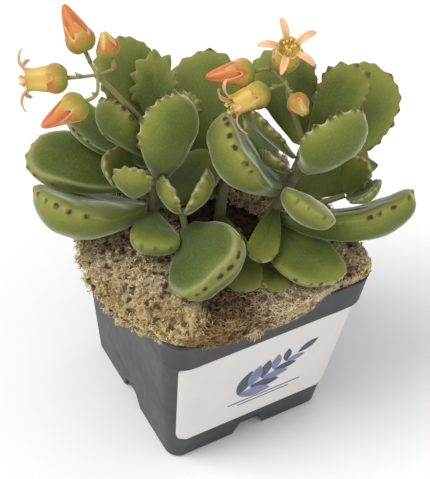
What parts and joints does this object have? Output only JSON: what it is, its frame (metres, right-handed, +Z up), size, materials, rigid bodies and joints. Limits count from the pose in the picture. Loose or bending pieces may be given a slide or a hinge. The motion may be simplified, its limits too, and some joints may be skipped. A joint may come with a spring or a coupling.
{
  "type": "potted cotyledon",
  "caption": "Young bear's paw succulent with thick toothed leaves, bell flowers and buds, top-dressed with moss in a square nursery pot.",
  "frame": {"origin": "centre of the pot's base, on the floor", "axes": "+Z up, -Y towards the labelled face of the pot"},
  "size_m": [0.1375, 0.0997, 0.173],
  "materials": {
    "pot_plastic": "satin",
    "label_paper": "satin",
    "soil": "matte",
    "moss": "matte",
    "bark": "matte",
    "stalk": "matte",
    "leaf": "velvet",
    "flower": "satin"
  },
  "bodies": {
    "root": {"pot": "pot_plastic", "label": "label_paper", "soil": "soil", "moss_left": "moss", "moss_front": "moss", "moss_right": "moss", "moss_back": "moss", "stem_left": "bark", "stem_right": "bark", "stem_centre": "bark", "stem_front": "bark", "twig_left": "bark", "twig_right": "bark", "stalk_left": "stalk", "stalk_right": "stalk", "leaf_left_lower_a": "leaf", "leaf_left_lower_b": "leaf", "leaf_left_broad_a": "leaf", "leaf_left_broad_b": "leaf", "leaf_left_narrow_a": "leaf", "leaf_left_cupped": "leaf", "leaf_left_upper_a": "leaf", "leaf_left_back": "leaf", "leaf_left_top_a": "leaf", "leaf_left_top_b": "leaf", "leaf_right_low": "leaf", "leaf_right_wide": "leaf", "leaf_right_oval": "leaf", "leaf_right_cupped": "leaf", "leaf_right_round": "leaf", "leaf_right_slim": "leaf", "leaf_right_inner": "leaf", "leaf_right_upper_a": "leaf", "leaf_right_bract": "leaf", "leaf_right_top_a": "leaf", "leaf_right_top_b": "leaf", "leaf_front_broad": "leaf", "leaf_front_round": "leaf", "leaf_front_low": "leaf", "leaf_front_small": "leaf", "leaf_front_fat": "leaf", "leaf_centre_back": "leaf", "leaf_centre_low": "leaf", "leaf_young_a": "leaf", "leaf_young_b": "leaf", "leaf_twig_left_a": "leaf", "leaf_twig_left_b": "leaf", "leaf_twig_right_a": "leaf", "leaf_twig_right_b": "leaf", "flower_left": "flower", "bud_left_upper": "flower", "bud_left_small": "flower", "bud_left_lower": "flower", "bud_right": "flower", "flower_right": "flower", "flower_top": "flower", "bud_right_small": "flower"}
  },
  "joints": []
}
